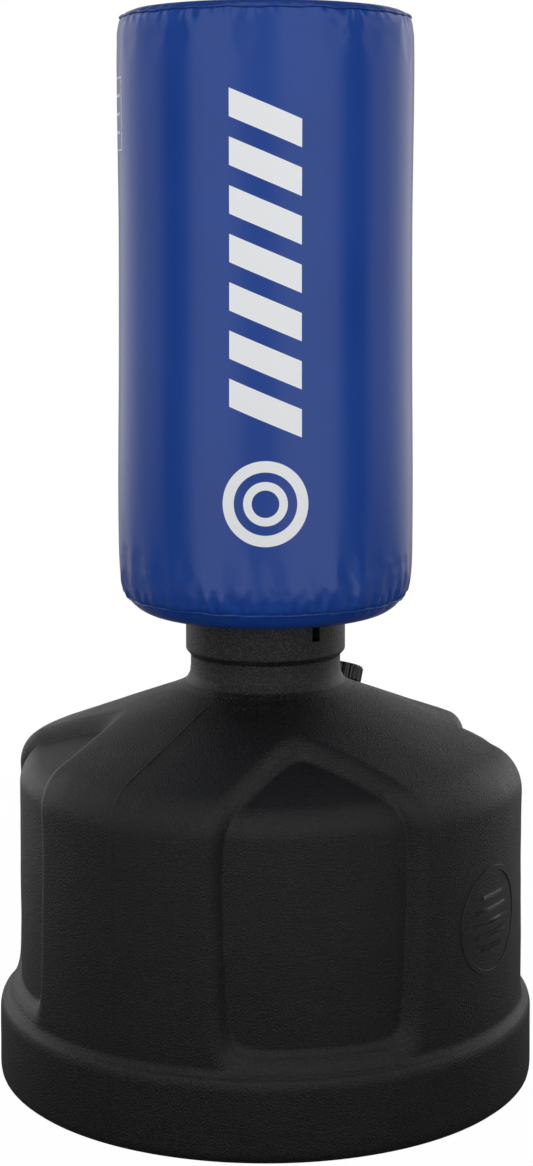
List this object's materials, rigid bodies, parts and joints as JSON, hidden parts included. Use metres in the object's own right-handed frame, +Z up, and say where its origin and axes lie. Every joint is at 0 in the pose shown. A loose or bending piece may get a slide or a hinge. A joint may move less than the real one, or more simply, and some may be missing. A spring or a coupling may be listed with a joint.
{
  "type": "free standing punching bag",
  "caption": "Free-standing punching bag: foam cylinder in a vinyl cover, height-adjustable with a twist lock, on a hollow ballast base with a capped fill port.",
  "frame": {"origin": "centre of the base's underside, on the floor", "axes": "+Z up along the post; the recessed panels face -Y, +X, +Y and -X; the cover's print faces about 12 degrees to the -X side of -Y"},
  "size_m": [0.6, 0.6, 1.1915],
  "materials": {
    "base_plastic": "fine-grained near-black moulded plastic",
    "port_plastic": "smooth black moulded plastic",
    "cap_plastic": "glossy black ribbed cap",
    "post_plastic": "smooth black pipe",
    "inner_plastic": "smooth dark grey moulded plastic",
    "liner_plastic": "smooth dark grey pipe",
    "pin_steel": "plain steel rod",
    "gasket_rubber": "soft black rubber",
    "foam": "open grey foam",
    "cover_vinyl": "satin blue coated vinyl, with a white print",
    "welt_vinyl": "satin blue vinyl piping"
  },
  "bodies": {
    "base": {"base_shell": "base_plastic", "fill_port_insert": "port_plastic", "support_tube": "post_plastic", "tube_foot": "inner_plastic", "tube_top_cap": "inner_plastic", "neck_bush": "inner_plastic", "cross_pin_1": "pin_steel", "cross_pin_2": "pin_steel", "cross_pin_3": "pin_steel", "cross_pin_4": "pin_steel", "cross_pin_5": "pin_steel", "cross_pin_6": "pin_steel", "cross_pin_7": "pin_steel"},
    "slide": {"glide_bush": "inner_plastic"},
    "bag": {"lock_ring": "inner_plastic", "bag_liner": "liner_plastic", "liner_cap": "liner_plastic", "foam_core": "foam", "foam_top": "foam", "cover_wall": "cover_vinyl", "cover_top": "cover_vinyl", "cover_bottom": "cover_vinyl", "welt_top": "welt_vinyl", "welt_bottom": "welt_vinyl"},
    "cap_seat": {"cap_gasket": "gasket_rubber"},
    "cap": {"fill_cap": "cap_plastic"}
  },
  "joints": [
    {"name": "bag_height", "type": "slide", "parent": "base", "child": "slide", "axis": [0, 0, 1], "range_m": [0, 0.5334]},
    {"name": "bag_twist", "type": "hinge", "parent": "slide", "child": "bag", "pos_m": [0, 0, 0.54], "axis": [0, 0, 1], "range_deg": [0, 90]},
    {"name": "cap_lift", "type": "slide", "parent": "base", "child": "cap_seat", "axis": [0.2534, 0.2534, 0.9336], "range_m": [0, 0.012]},
    {"name": "cap_turn", "type": "hinge", "parent": "cap_seat", "child": "cap", "pos_m": [0.11597, 0.11597, 0.4095], "axis": [0.2534, 0.2534, 0.9336], "range_deg": [0, 720]}
  ],
  "couplings": [
    {"joint": "cap_lift", "follows": "cap_turn", "m_per_rad": 0.00095492}
  ]
}
